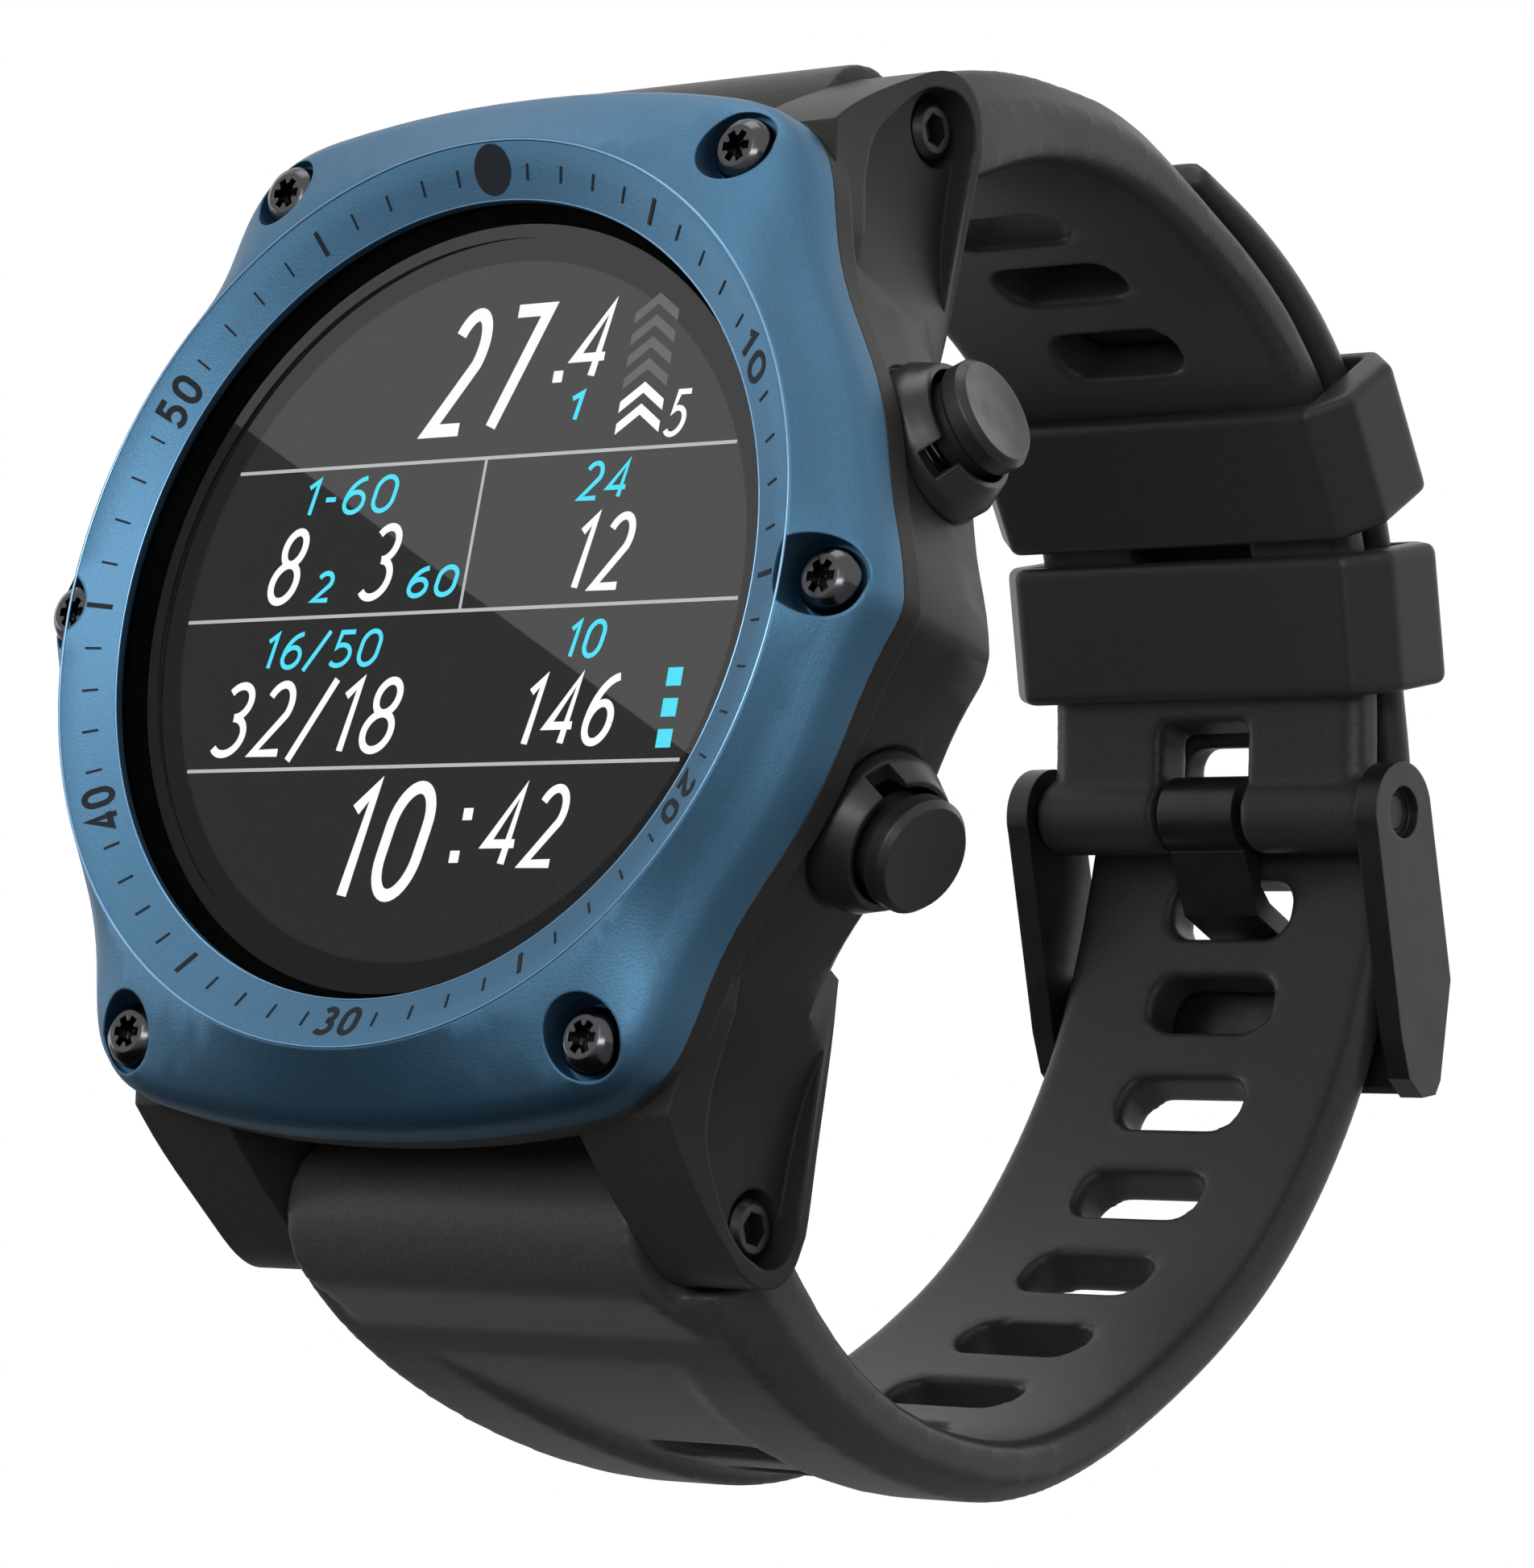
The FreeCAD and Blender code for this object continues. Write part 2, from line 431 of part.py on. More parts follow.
def strap_band(line):
    """Band with bevelled edges lofted along a strap line."""
    wires = []
    for at, along, out, t, w in line.stations():
        bevel_w, bevel_d = 1.1 + 0.12 * (t - 2.5), 0.95 + 0.45 * (t - 3.0)
        if t < 3.0:
            bevel_d = 0.35 * t
        pts = [(-w + 0.8, 0), (w - 0.8, 0), (w, 0.45), (w, t - bevel_d), (w - bevel_w, t), (-w + bevel_w, t),
               (-w, t - bevel_d), (-w, 0.45)]
        loop = [V(x, 0, 0) + at + out * d for x, d in pts]
        wires.append(Part.makePolygon(loop + loop[:1]))
    return Part.makeLoft(wires, True, False)


def tail_line():
    """The long strap's end, lying on the outside of the 12 o'clock strap."""
    upper = StrapLine(UPPER, 1)
    out = []
    for i in range(13, 5, -1):
        at, along, n, t, w = upper.station(UPPER[i][0], UPPER[i][1])
        p = at + n * (t + TAIL_GAP)
        out.append((p.y, p.z, TAIL_T if i > 8 else TAIL_T + (TAIL_TIP_T - TAIL_T) * (9 - i) / 3.0, w))
    return [(y, z, t, UPPER[13][3]) for y, z, t, w in out]


def slot_tool(line, y, z, half=SLOT_HALF, h=SLOT_H):
    """Rounded window square through the strap at (y, z)."""
    at, along, out, t, w = line.station(y, z)
    box = Part.makeBox(2 * half, 2 * h, 14, V(-half, -h, -7))
    box = box.makeFillet(SLOT_ROUND, [e for e in box.Edges if abs(e.Vertexes[0].Z - e.Vertexes[1].Z) > 5])
    return box.transformGeometry(FreeCAD.Matrix(1, 0, 0, 0, 0, along.y, out.y, at.y,
                                                0, along.z, out.z, at.z, 0, 0, 0, 1))


def lug_room(side):
    """Space the lugs take beside the strap, both sides."""
    pts = []
    for i, (y, z) in enumerate(LUG_TIP):
        a, b = LUG_TIP[max(i - 1, 0)], LUG_TIP[min(i + 1, len(LUG_TIP) - 1)]
        n = V(-(b[1] - a[1]), b[0] - a[0], 0).normalize()
        pts.append((y + n.x * LUG_ROOM, (z + n.y * LUG_ROOM)))
    pts = [(y, z * side) for y, z in [(-12, 14.0)] + [(-12, 26.0)] + pts + [(-1.0, 12.0)]]
    return both_sides(prism_x(pts, LUG_IN - RUN * 2, 15))


def strap_with_end(line, side):
    """Band, barrel round the lug bar and the room left for the lugs."""
    r = BARREL_TOP_R if side > 0 else BARREL_R
    band = strap_band(line).fuse(rod_x(r, -LUG_IN + 0.12, LUG_IN - 0.12, BAR_Y, BAR_Z * side))
    return band.cut(lug_room(side)).cut(rod_x(BAR_R + 0.02, -20, 20, BAR_Y, BAR_Z * side))


def strap_channel(line):
    """Shallow channel down the outer face, run out at both ends like a cutter's path."""
    wires = []
    for (y, z, t, w), half, depth in zip(LOWER[1:10], CHANNEL_HALF, CHANNEL_DEPTH):
        at, along, out, t, w = line.station(y, z)
        loop = [V(x, 0, 0) + at + out * (t + d) for x, d in [(-half, -depth), (half, -depth), (half + 1.2, 1.5),
                                                             (-half - 1.2, 1.5)]]
        wires.append(Part.makePolygon(loop + loop[:1]))
    return Part.makeLoft(wires, True, False)


def make_lower_strap():
    line = StrapLine(LOWER + tail_line(), -1)
    web = prism_x([(-1.82, -31.57), (2.1, -32.45), (3.0, -30.0), (BAR_Y, -BAR_Z)], -LUG_IN + 0.12, LUG_IN - 0.12)
    band = strap_with_end(line, -1).fuse(web).cut(rod_x(BAR_R + 0.02, -20, 20, BAR_Y, -BAR_Z))
    band = band.cut(strap_channel(line))
    for y, z in LOWER_SLOTS:
        band = band.cut(slot_tool(line, y, z))
    return band


def make_upper_strap():
    line = StrapLine(UPPER, 1)
    band = strap_with_end(line, 1)
    for y, z in UPPER_SLOTS:
        band = band.cut(slot_tool(line, y, z))
    band = band.fuse(rod_x(ROLL_R, -PLATE_IN + 0.2, PLATE_IN - 0.2, PIN_Y, PIN_Z))
    band = band.cut(block(-TONGUE_GAP, TONGUE_GAP, 47, 58, 4, 12.9))
    return band.cut(rod_x(PIN_R, -13, 13, PIN_Y, PIN_Z))


def straps():
    save("lower_strap", make_lower_strap())
    save("upper_strap", make_upper_strap())
    for name, s in (("upper", 1), ("lower", -1)):
        bar = rod_x(BAR_R, -LUG_BORE_X, LUG_BORE_X, BAR_Y, BAR_Z * s)
        bar = bar.cut(rod_x(0.75, LUG_BORE_X - 4, LUG_BORE_X, BAR_Y, BAR_Z * s))
        save("lug_bar_" + name, bar.cut(rod_x(0.75, -LUG_BORE_X, -LUG_BORE_X + 4, BAR_Y, BAR_Z * s)))
    save("lug_screws", make_lug_screws())


def make_lug_screws():
    f = LUG_SCREW_FACE
    one = turned_x([(LUG_BORE_X - 3.8, 0), (LUG_BORE_X - 3.8, 0.75), (LUG_BORE_X, 0.75), (LUG_BORE_X, LUG_SCREW_R),
                    (f - 0.35, LUG_SCREW_R), (f, LUG_SCREW_R - 0.3), (f, 0)], BAR_Y, BAR_Z)
    hexagon = [(BAR_Y + 0.85 * math.cos(math.radians(60 * k)), BAR_Z + 0.85 * math.sin(math.radians(60 * k)))
               for k in range(6)]
    one = one.cut(prism_x(hexagon, f - 1.0, f + 1))
    pair = [one, one.mirror(V(0, 0, 0), V(1, 0, 0))]
    return Part.makeCompound(pair + [mirror_z(s) for s in pair])


# ---------------------------------------------------------------- keepers and buckle
def make_keeper(name):
    at, tan, n, t, w = StrapLine(UPPER, 1).station(*KEEPER_AT[name])
    lo, hi = -KEEPER_IN, t + TAIL_GAP + TAIL_T + KEEPER_OUT
    a, b, w, c = lo - KEEPER_WALL, hi + KEEPER_WALL, KEEPER_HALF, 2.0
    outer = [(-w, a + c), (-w + c, a), (w - c, a), (w, a + c), (w, b - c), (w - c, b), (-w + c, b), (-w, b - c)]
    half = UPPER[13][3] + KEEPER_SIDE

    def push(pts):
        wire = Part.makePolygon([V(x, 0, 0) + at + n * d - tan * (KEEPER_LEN / 2) for x, d in pts + pts[:1]])
        return Part.Face(wire).extrude(tan * KEEPER_LEN)
    solid = push(outer)
    return solid.makeFillet(KEEPER_ROUND, solid.Edges).cut(push([(-half, lo), (half, lo), (half, hi), (-half, hi)]))


def make_buckle_frame():
    plate = [(49.95, 7.2), (55.5, -3.9), (56.9, -6.0), (58.4, -6.7), (59.7, -6.2), (60.0, -5.3), (59.6, 0.4),
             (54.95, 9.65)]
    side = prism_x(plate, PLATE_IN, PLATE_OUT).fuse(rod_x(PLATE_END_R, PLATE_IN, PLATE_OUT, PIN_Y, PIN_Z))
    side = side.cut(rod_x(PIN_R + RUN, 5, 20, PIN_Y, PIN_Z)).cut(rod_x(1.45, PLATE_OUT - 0.6, 20, PIN_Y, PIN_Z))
    bar = prism_x([(58.35, 0.1), (59.45, 0.25), (59.85, -5.3), (59.6, -6.05), (58.4, -6.5), (58.05, -6.2),
                   (58.05, -4.2)], -PLATE_IN - 0.6, PLATE_IN + 0.6)
    return both_sides(side).fuse(bar).removeSplitter()


def make_tongue():
    blade = [(53.7, 6.6), (54.5, 4.45), (55.6, 3.75), (57.6, 3.3), (59.6, 2.7), (60.9, 1.3), (61.35, -4.9),
             (60.2, -4.9), (59.85, 0.7), (59.2, 1.5), (57.4, 2.15), (54.6, 2.75), (52.3, 5.9)]
    part = prism_x(blade, -TONGUE_HALF, TONGUE_HALF)
    part = part.fuse(rod_x(ROLL_R - 0.02, -TONGUE_HALF, TONGUE_HALF, PIN_Y, PIN_Z))
    return part.cut(rod_x(PIN_R + RUN, -5, 5, PIN_Y, PIN_Z))


def buckle():
    save("buckle_pin", rod_x(PIN_R, -12.0, 12.0, PIN_Y, PIN_Z))
    save("buckle_frame", make_buckle_frame())
    save("buckle_tongue", make_tongue())
    save("keeper_lower", make_keeper("lower"))
    save("keeper_upper", make_keeper("upper"))


def main():
    os.makedirs("parts", exist_ok=True)
    save("bezel", make_bezel())
    save("bezel_screws", make_bezel_screws())
    save("crystal", make_crystal())
    dial_stack()
    save("case_body", make_case())
    save("case_back", make_case_back())
    save("case_back_seal", ring(BACK_R - FIT, CAVITY_R + SEAL_GAP, -BACK_T - SEAL_T, -BACK_T))
    inner_parts()
    buttons()
    straps()
    buckle()


main()
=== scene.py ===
"""Wrist dive computer: the finishes of the CAD pieces, the display, the dial markings, stage and lights.

Metres, in the frame of the CAD: -Y looks out of the dial, +Z is 12 o'clock, +X is 3 o'clock.
"""

import json
import math

import bmesh
import bpy
from mathutils import Matrix, Vector


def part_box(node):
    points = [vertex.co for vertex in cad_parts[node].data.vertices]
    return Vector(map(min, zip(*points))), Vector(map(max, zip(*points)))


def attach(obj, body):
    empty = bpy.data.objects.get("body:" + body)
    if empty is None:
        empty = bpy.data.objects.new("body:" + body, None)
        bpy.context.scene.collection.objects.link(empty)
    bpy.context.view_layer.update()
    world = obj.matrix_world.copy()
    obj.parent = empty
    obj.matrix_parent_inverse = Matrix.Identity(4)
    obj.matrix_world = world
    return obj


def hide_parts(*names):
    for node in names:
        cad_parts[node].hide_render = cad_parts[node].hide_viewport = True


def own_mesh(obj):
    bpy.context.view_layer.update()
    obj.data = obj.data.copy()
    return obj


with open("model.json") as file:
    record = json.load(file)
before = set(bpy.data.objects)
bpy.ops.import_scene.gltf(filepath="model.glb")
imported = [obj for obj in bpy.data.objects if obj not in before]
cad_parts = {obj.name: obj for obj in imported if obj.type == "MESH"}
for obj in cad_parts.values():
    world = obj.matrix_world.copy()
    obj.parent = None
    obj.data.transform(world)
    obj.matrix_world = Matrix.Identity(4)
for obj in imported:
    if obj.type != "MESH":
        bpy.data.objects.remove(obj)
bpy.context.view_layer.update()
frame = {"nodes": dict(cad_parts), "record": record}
nodes = frame["nodes"]

MM = 0.001
# dial sizes, millimetres
CREST_R, CREST_Y = 22.67, -15.76
CHAPTER_R, CHAPTER_Y = 20.04, -14.48
TICK_R, TICK_LONG, TICK_WIDE = 21.26, 0.83, 0.11
HOUR_LONG, HOUR_WIDE = 1.35, 0.24
NUMERAL_H = 1.75
LIT_R = 17.65
MASK_IN_R, BORDER_Y = 19.4, -12.77   # where the ink stops, and the pale border film behind it
LIFT = 0.03                       # printed or engraved marks stand this far off their face
PAINTED_REFLECTION_ACROSS, PAINTED_REFLECTION_AT = (0.478, 0.878), 1.0   # where the painted reflection starts on the display, along a slanting line
BORDER_IN_R = 18.7                # the border film starts under the edge of the display
DIGIT_GAP, LEAN = 0.26, 0.2       # of a digit's width, and of its height
RULE_HALF = 0.09                  # half the thickness of the lines on the display
NUMERAL_PITCH, NUMERAL_STROKE = 0.8, 0.18   # of a numeral's height
DOT_R, DOT_STEPS, RING_STEPS = 1.15, 40, 180
BAR_X, BAR_PITCH, BAR_RISE, BAR_THICK = (8.3, 11.0), 1.1, 0.95, 0.56   # bars of the climb scale
PAINTED_REFLECTION_EDGE, LIT_EDGE = 0.05, 0.08  # how soft the edges of the painted reflection and of the lit area on the display are
CUT_TURNS, CUT_SIDES = 240, 8     # facets of a cut line with its painted highlight, round the dial and round the line
# grain and skins
GRAIN_DETAIL, CLOUD_DETAIL = 2.0, 3.0
CREASE = math.radians(28)         # edges sharper than this stay sharp
RUBBER_VOXEL = {"upper_strap": 0.26, "lower_strap": 0.3, "keeper_upper": 0.16, "keeper_lower": 0.16}
SOFTEN_STEPS = 8
# stage, metres
FLOOR_HALF, FLOOR_Z, CARD_Z = 3.0, -0.105, -0.1
WORLD_DIFFUSE = 0.2               # the world's share of light on matte faces; mirrors see all of it


# ---------------------------------------------------------------- colour and node helpers
def srgb(text, alpha=1.0):
    rgb = [int(text[i:i + 2], 16) / 255 for i in (1, 3, 5)]
    return [c / 12.92 if c <= 0.04045 else ((c + 0.055) / 1.055) ** 2.4 for c in rgb] + [alpha]


def add(tree, kind, settings=None, inputs=None):
    """One node, with its settings, its values and its links."""
    node = tree.nodes.new(kind)
    for key, value in (settings or {}).items():
        setattr(node, key, value)
    for key, value in (inputs or {}).items():
        socket = node.inputs[key]
        if isinstance(value, bpy.types.NodeSocket):
            tree.links.new(value, socket)
        else:
            socket.default_value = value
    return node


def finish(name, colour, roughness, metallic=0.0, **more):
    """A new material and its Principled shader."""
    mat = bpy.data.materials.new(name)
    mat.use_nodes = True
    mat.node_tree.nodes.clear()
    shader = add(mat.node_tree, "ShaderNodeBsdfPrincipled", None,
                 {"Base Color": srgb(colour), "Roughness": roughness, "Metallic": metallic})
    for key, value in more.items():
        shader.inputs[key.replace("_", " ")].default_value = value
    add(mat.node_tree, "ShaderNodeOutputMaterial", None, {"Surface": shader.outputs[0]})
    return mat, shader


def grain(mat, shader, size_mm, depth_mm, strength, round_mm=0.0):
    """Fine random surface texture of a real size, over edges softened by round_mm."""
    tree = mat.node_tree
    place = add(tree, "ShaderNodeTexCoord")
    noise = add(tree, "ShaderNodeTexNoise", None,
                {"Vector": place.outputs["Object"], "Scale": 1.0 / (size_mm * MM), "Detail": GRAIN_DETAIL})
    bump = add(tree, "ShaderNodeBump", None,
               {"Height": noise.outputs[0], "Distance": depth_mm * MM, "Strength": strength})
    if round_mm:
        edge = add(tree, "ShaderNodeBevel", {"samples": 4}, {"Radius": round_mm * MM})
        tree.links.new(edge.outputs[0], bump.inputs["Normal"])
    tree.links.new(bump.outputs[0], shader.inputs["Normal"])
    return place


def vary(mat, shader, place, size_mm, low, high, socket="Base Color"):
    """Slow or fine change of a colour or a value between two limits."""
    tree = mat.node_tree
    noise = add(tree, "ShaderNodeTexNoise", None,
                {"Vector": place.outputs["Object"], "Scale": 1.0 / (size_mm * MM), "Detail": CLOUD_DETAIL})
    if socket == "Base Color":
        mix = add(tree, "ShaderNodeMix", {"data_type": "RGBA"}, {"Factor": noise.outputs[0]})
        mix.inputs[6].default_value = srgb(low)
        mix.inputs[7].default_value = srgb(high)
        tree.links.new(mix.outputs[2], shader.inputs[socket])
    else:
        span = add(tree, "ShaderNodeMapRange", None,
                   {"Value": noise.outputs[0], "From Min": 0.3, "From Max": 0.7, "To Min": low, "To Max": high})
        tree.links.new(span.outputs[0], shader.inputs[socket])


# ---------------------------------------------------------------- finishes
def make_finishes():
    f = {}

    # anodised aluminium, bead blasted: a fine even sparkle under a deep steel blue
    mat, sh = finish("blue_anodised_aluminium", "#486d88", 0.5, 1.0)
    place = grain(mat, sh, 0.14, 0.02, 0.55, 0.18)
    vary(mat, sh, place, 0.12, "#40647f", "#517691")
    f["blue_anodised"] = mat

    # the same metal where a tool has cut a fine edge through the blasting, polished smoother; its paler blue is a
    # painted highlight, the bright line such an edge catches
    mat, sh = finish("blue_cut_edge", "#6f97ba", 0.28, 1.0)
    place = grain(mat, sh, 0.3, 0.004, 0.3)
    vary(mat, sh, place, 0.4, "#688fb1", "#7aa0c2")
    f["cut_edge"] = mat

    # fibre reinforced resin, moulded and blasted: deep black with a soft satin sheen
    mat, sh = finish("black_case_resin", "#2a2928", 0.42, Specular_IOR_Level=0.14)
    place = grain(mat, sh, 0.2, 0.012, 0.4, 0.25)
    vary(mat, sh, place, 0.3, "#252423", "#302f2e")
    f["case_resin"] = mat

    # steel with a hard black coat: darker and tighter highlights than the resin
    mat, sh = finish("black_coated_steel", "#1d1d1d", 0.32, 0.0, Specular_IOR_Level=0.4)
    place = grain(mat, sh, 0.3, 0.006, 0.3, 0.14)
    vary(mat, sh, place, 2.0, 0.28, 0.42, "Roughness")
    f["black_steel"] = mat

    # blackened steel screws, polished: they mirror bright and dark in turn
    mat, sh = finish("polished_black_screw_steel", "#4e4e51", 0.2, 1.0)
    place = grain(mat, sh, 0.5, 0.004, 0.3, 0.1)
    vary(mat, sh, place, 1.2, 0.13, 0.24, "Roughness")
    f["screw_steel"] = mat

    # silicone rubber from a sandblasted mould: matte, with a fine grey speckle
    mat, sh = finish("black_silicone", "#333231", 0.4, Specular_IOR_Level=0.22)
    place = grain(mat, sh, 0.18, 0.03, 0.45)
    vary(mat, sh, place, 0.13, "#232322", "#434240")
    f["silicone"] = mat

    # loose keepers in a denser, smoother rubber
    mat, sh = finish("satin_rubber", "#323130", 0.38, Specular_IOR_Level=0.2)
    place = grain(mat, sh, 0.25, 0.015, 0.3)
    vary(mat, sh, place, 0.5, "#2e2d2c", "#363534")
    f["keeper_plastic"] = mat

    # sapphire with an anti-reflection coat, so it mirrors less than bare sapphire
    mat, sh = finish("coated_sapphire", "#ffffff", 0.0, 0.0, IOR=1.06, Transmission_Weight=1.0)
    f["crystal"] = mat

    # black ink baked on the back of the crystal
    mat, sh = finish("black_glass_ink", "#010101", 0.8, Specular_IOR_Level=0.0)
    place = grain(mat, sh, 0.4, 0.002, 0.1)
    vary(mat, sh, place, 1.0, "#000000", "#020202")
    f["mask_ink"] = mat

    # backlit liquid crystal: its black is a dark grey, darker still in the unlit border; a painted reflection makes one
    # side paler
    mat, sh = finish("backlit_display", "#010101", 0.6, Specular_IOR_Level=0.0)
    tree = mat.node_tree
    place = add(tree, "ShaderNodeTexCoord")
    flat = add(tree, "ShaderNodeVectorMath", {"operation": "MULTIPLY"},
               {0: place.outputs["Object"], 1: (1.0, 0.0, 1.0)})
    away = add(tree, "ShaderNodeVectorMath", {"operation": "LENGTH"}, {0: flat.outputs[0]})
    lit = add(tree, "ShaderNodeMapRange", None,
              {"Value": away.outputs["Value"], "From Min": LIT_R * MM, "From Max": (LIT_R + LIT_EDGE) * MM,
               "To Min": 1.0, "To Max": 0.0})
    # painted reflection: the display glows paler on one side of a slanting line, in place of a softbox mirrored in the
    # crystal
    split = add(tree, "ShaderNodeVectorMath", {"operation": "DOT_PRODUCT"},
                {0: place.outputs["Object"], 1: (PAINTED_REFLECTION_ACROSS[0], 0.0, PAINTED_REFLECTION_ACROSS[1])})
    pale = add(tree, "ShaderNodeMapRange", None,
               {"Value": split.outputs["Value"], "From Min": (PAINTED_REFLECTION_AT - PAINTED_REFLECTION_EDGE) * MM,
                "From Max": (PAINTED_REFLECTION_AT + PAINTED_REFLECTION_EDGE) * MM, "To Min": 0.0, "To Max": 1.0})
    tones = []
    # each pair: the film's own tone, then that tone with the painted reflection on it
    for low, high in (("#202021", "#444344"), ("#2d2d2e", "#505050")):
        tone = add(tree, "ShaderNodeMix", {"data_type": "RGBA"}, {"Factor": pale.outputs[0]})
        tone.inputs[6].default_value = srgb(low)
        tone.inputs[7].default_value = srgb(high)
        tones.append(tone)
    glow = add(tree, "ShaderNodeMix", {"data_type": "RGBA"}, {"Factor": lit.outputs[0]})
    tree.links.new(tones[0].outputs[2], glow.inputs[6])
    tree.links.new(tones[1].outputs[2], glow.inputs[7])
    tree.links.new(glow.outputs[2], sh.inputs["Emission Color"])
    sh.inputs["Emission Strength"].default_value = 1.0
    f["display"] = mat

    for name, colour in (("display_white", "#f8f8f8"), ("display_cyan", "#3fdcf5"),
                         ("display_grey", "#b5b3b6"), ("display_dim", "#5b5b5d")):
        mat, sh = finish(name, "#000000", 0.5, Emission_Strength=1.0)
        sh.inputs["Emission Color"].default_value = srgb(colour)
        f[name] = mat

    # engraved marks filled with dark lacquer
    mat, sh = finish("dark_engraving", "#0d151c", 0.6, 0.0, Specular_IOR_Level=0.2)
    grain(mat, sh, 0.2, 0.01, 0.3)
    f["engraving"] = mat

    # turned stainless steel, left bare
    mat, sh = finish("bare_steel", "#8f8f90", 0.3, 1.0)
    grain(mat, sh, 0.2, 0.01, 0.3, 0.1)
    f["steel"] = mat

    # soft seal rubber
    mat, sh = finish("seal_rubber", "#161616", 0.7)
    grain(mat, sh, 0.3, 0.02, 0.4)
    f["seal"] = mat

    # matte moulded plastic of the inner frame
    mat, sh = finish("inner_frame_plastic", "#1d1d1d", 0.6)
    grain(mat, sh, 0.4, 0.02, 0.3)
    f["frame_plastic"] = f["switch"] = mat

    # green solder mask over copper planes
    mat, sh = finish("solder_mask", "#0d4a2a", 0.35)
    place = grain(mat, sh, 1.0, 0.02, 0.2)
    vary(mat, sh, place, 2.0, "#0b4226", "#125c34")
    f["board"] = mat

    # moulded epoxy chip cases
    mat, sh = finish("chip_epoxy", "#191919", 0.55)
    grain(mat, sh, 0.15, 0.02, 0.4)
    f["chips"] = mat

    # aluminium laminate pouch of the cell
    mat, sh = finish("pouch_foil", "#a9aaac", 0.38, 1.0)
    grain(mat, sh, 1.2, 0.05, 0.5)
    f["cell"] = mat

    # polyimide ribbon
    mat, sh = finish("polyimide_film", "#a8641a", 0.35)
    grain(mat, sh, 0.5, 0.01, 0.3)
    f["ribbon"] = mat

    # enamelled copper wire, wound flat
    mat, sh = finish("enamelled_copper", "#b5673c", 0.3, 1.0)
    tree = mat.node_tree
    place = add(tree, "ShaderNodeTexCoord")
    turns = add(tree, "ShaderNodeTexWave", {"wave_type": "RINGS", "rings_direction": "Y"},
                {"Vector": place.outputs["Object"], "Scale": 1.0 / (0.3 * MM) / 20.0})
    bump = add(tree, "ShaderNodeBump", None,
               {"Height": turns.outputs[0], "Distance": 0.1 * MM, "Strength": 0.8})
    tree.links.new(bump.outputs[0], sh.inputs["Normal"])
    f["copper"] = mat

    # sintered ferrite sheet
    mat, sh = finish("ferrite_ceramic", "#262627", 0.5)
    grain(mat, sh, 0.3, 0.02, 0.4)
    f["ferrite"] = mat
    return f


# ---------------------------------------------------------------- mesh helpers
def link(obj):
    bpy.context.scene.collection.objects.link(obj)
    return obj


def merged_copy(node, name):
    """A welded copy of a CAD node with soft shading over its round faces."""
    mesh = nodes[node].data.copy()
    bm = bmesh.new()
    bm.from_mesh(mesh)
    bmesh.ops.remove_doubles(bm, verts=bm.verts, dist=1e-6)
    bm.to_mesh(mesh)
    bm.free()
    if "custom_normal" in mesh.attributes:
        mesh.attributes.remove(mesh.attributes["custom_normal"])
    obj = link(bpy.data.objects.new(name, mesh))
    mesh.materials.clear()
    for poly in mesh.polygons:
        poly.use_smooth = True
    mesh.set_sharp_from_angle(angle=CREASE)
    return obj


def evaluated(obj):
    """The object's finished mesh, with its modifiers gone."""
    graph = bpy.context.evaluated_depsgraph_get()
    mesh = bpy.data.meshes.new_from_object(obj.evaluated_get(graph), depsgraph=graph)
    obj.modifiers.clear()
    obj.data = mesh
    return obj


def soft_skin(node, name, voxel_mm):
    """A moulded rubber form: the CAD solid with every edge softened."""
    obj = merged_copy(node, name)
    mod = obj.modifiers.new("skin", "REMESH")
    mod.mode = "VOXEL"
    mod.voxel_size = voxel_mm * MM
    mod.use_smooth_shade = True
    soft = obj.modifiers.new("soften", "SMOOTH")
    soft.factor = 0.5
    soft.iterations = SOFTEN_STEPS
    return evaluated(obj)


def dress(obj, mat, body, slot, *replaced):
    obj.data.materials.clear()
    obj.data.materials.append(mat)
    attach(obj, body)
    if replaced:
        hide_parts(*replaced)
    return obj


def on_dial(y_mm):
    """Turns a drawing in its own x, y so that it faces out of the dial at depth y_mm."""
    return Matrix(((1, 0, 0, 0), (0, 0, -1, y_mm * MM), (0, 1, 0, 0), (0, 0, 0, 1)))


def arc(cx, cy, rx, ry, start, end, steps=18):
    """Points of an elliptical arc, degrees counter-clockwise."""
    turn = [math.radians(start + (end - start) * k / steps) for k in range(steps + 1)]
    return [(cx + rx * math.cos(a), cy + ry * math.sin(a)) for a in turn]


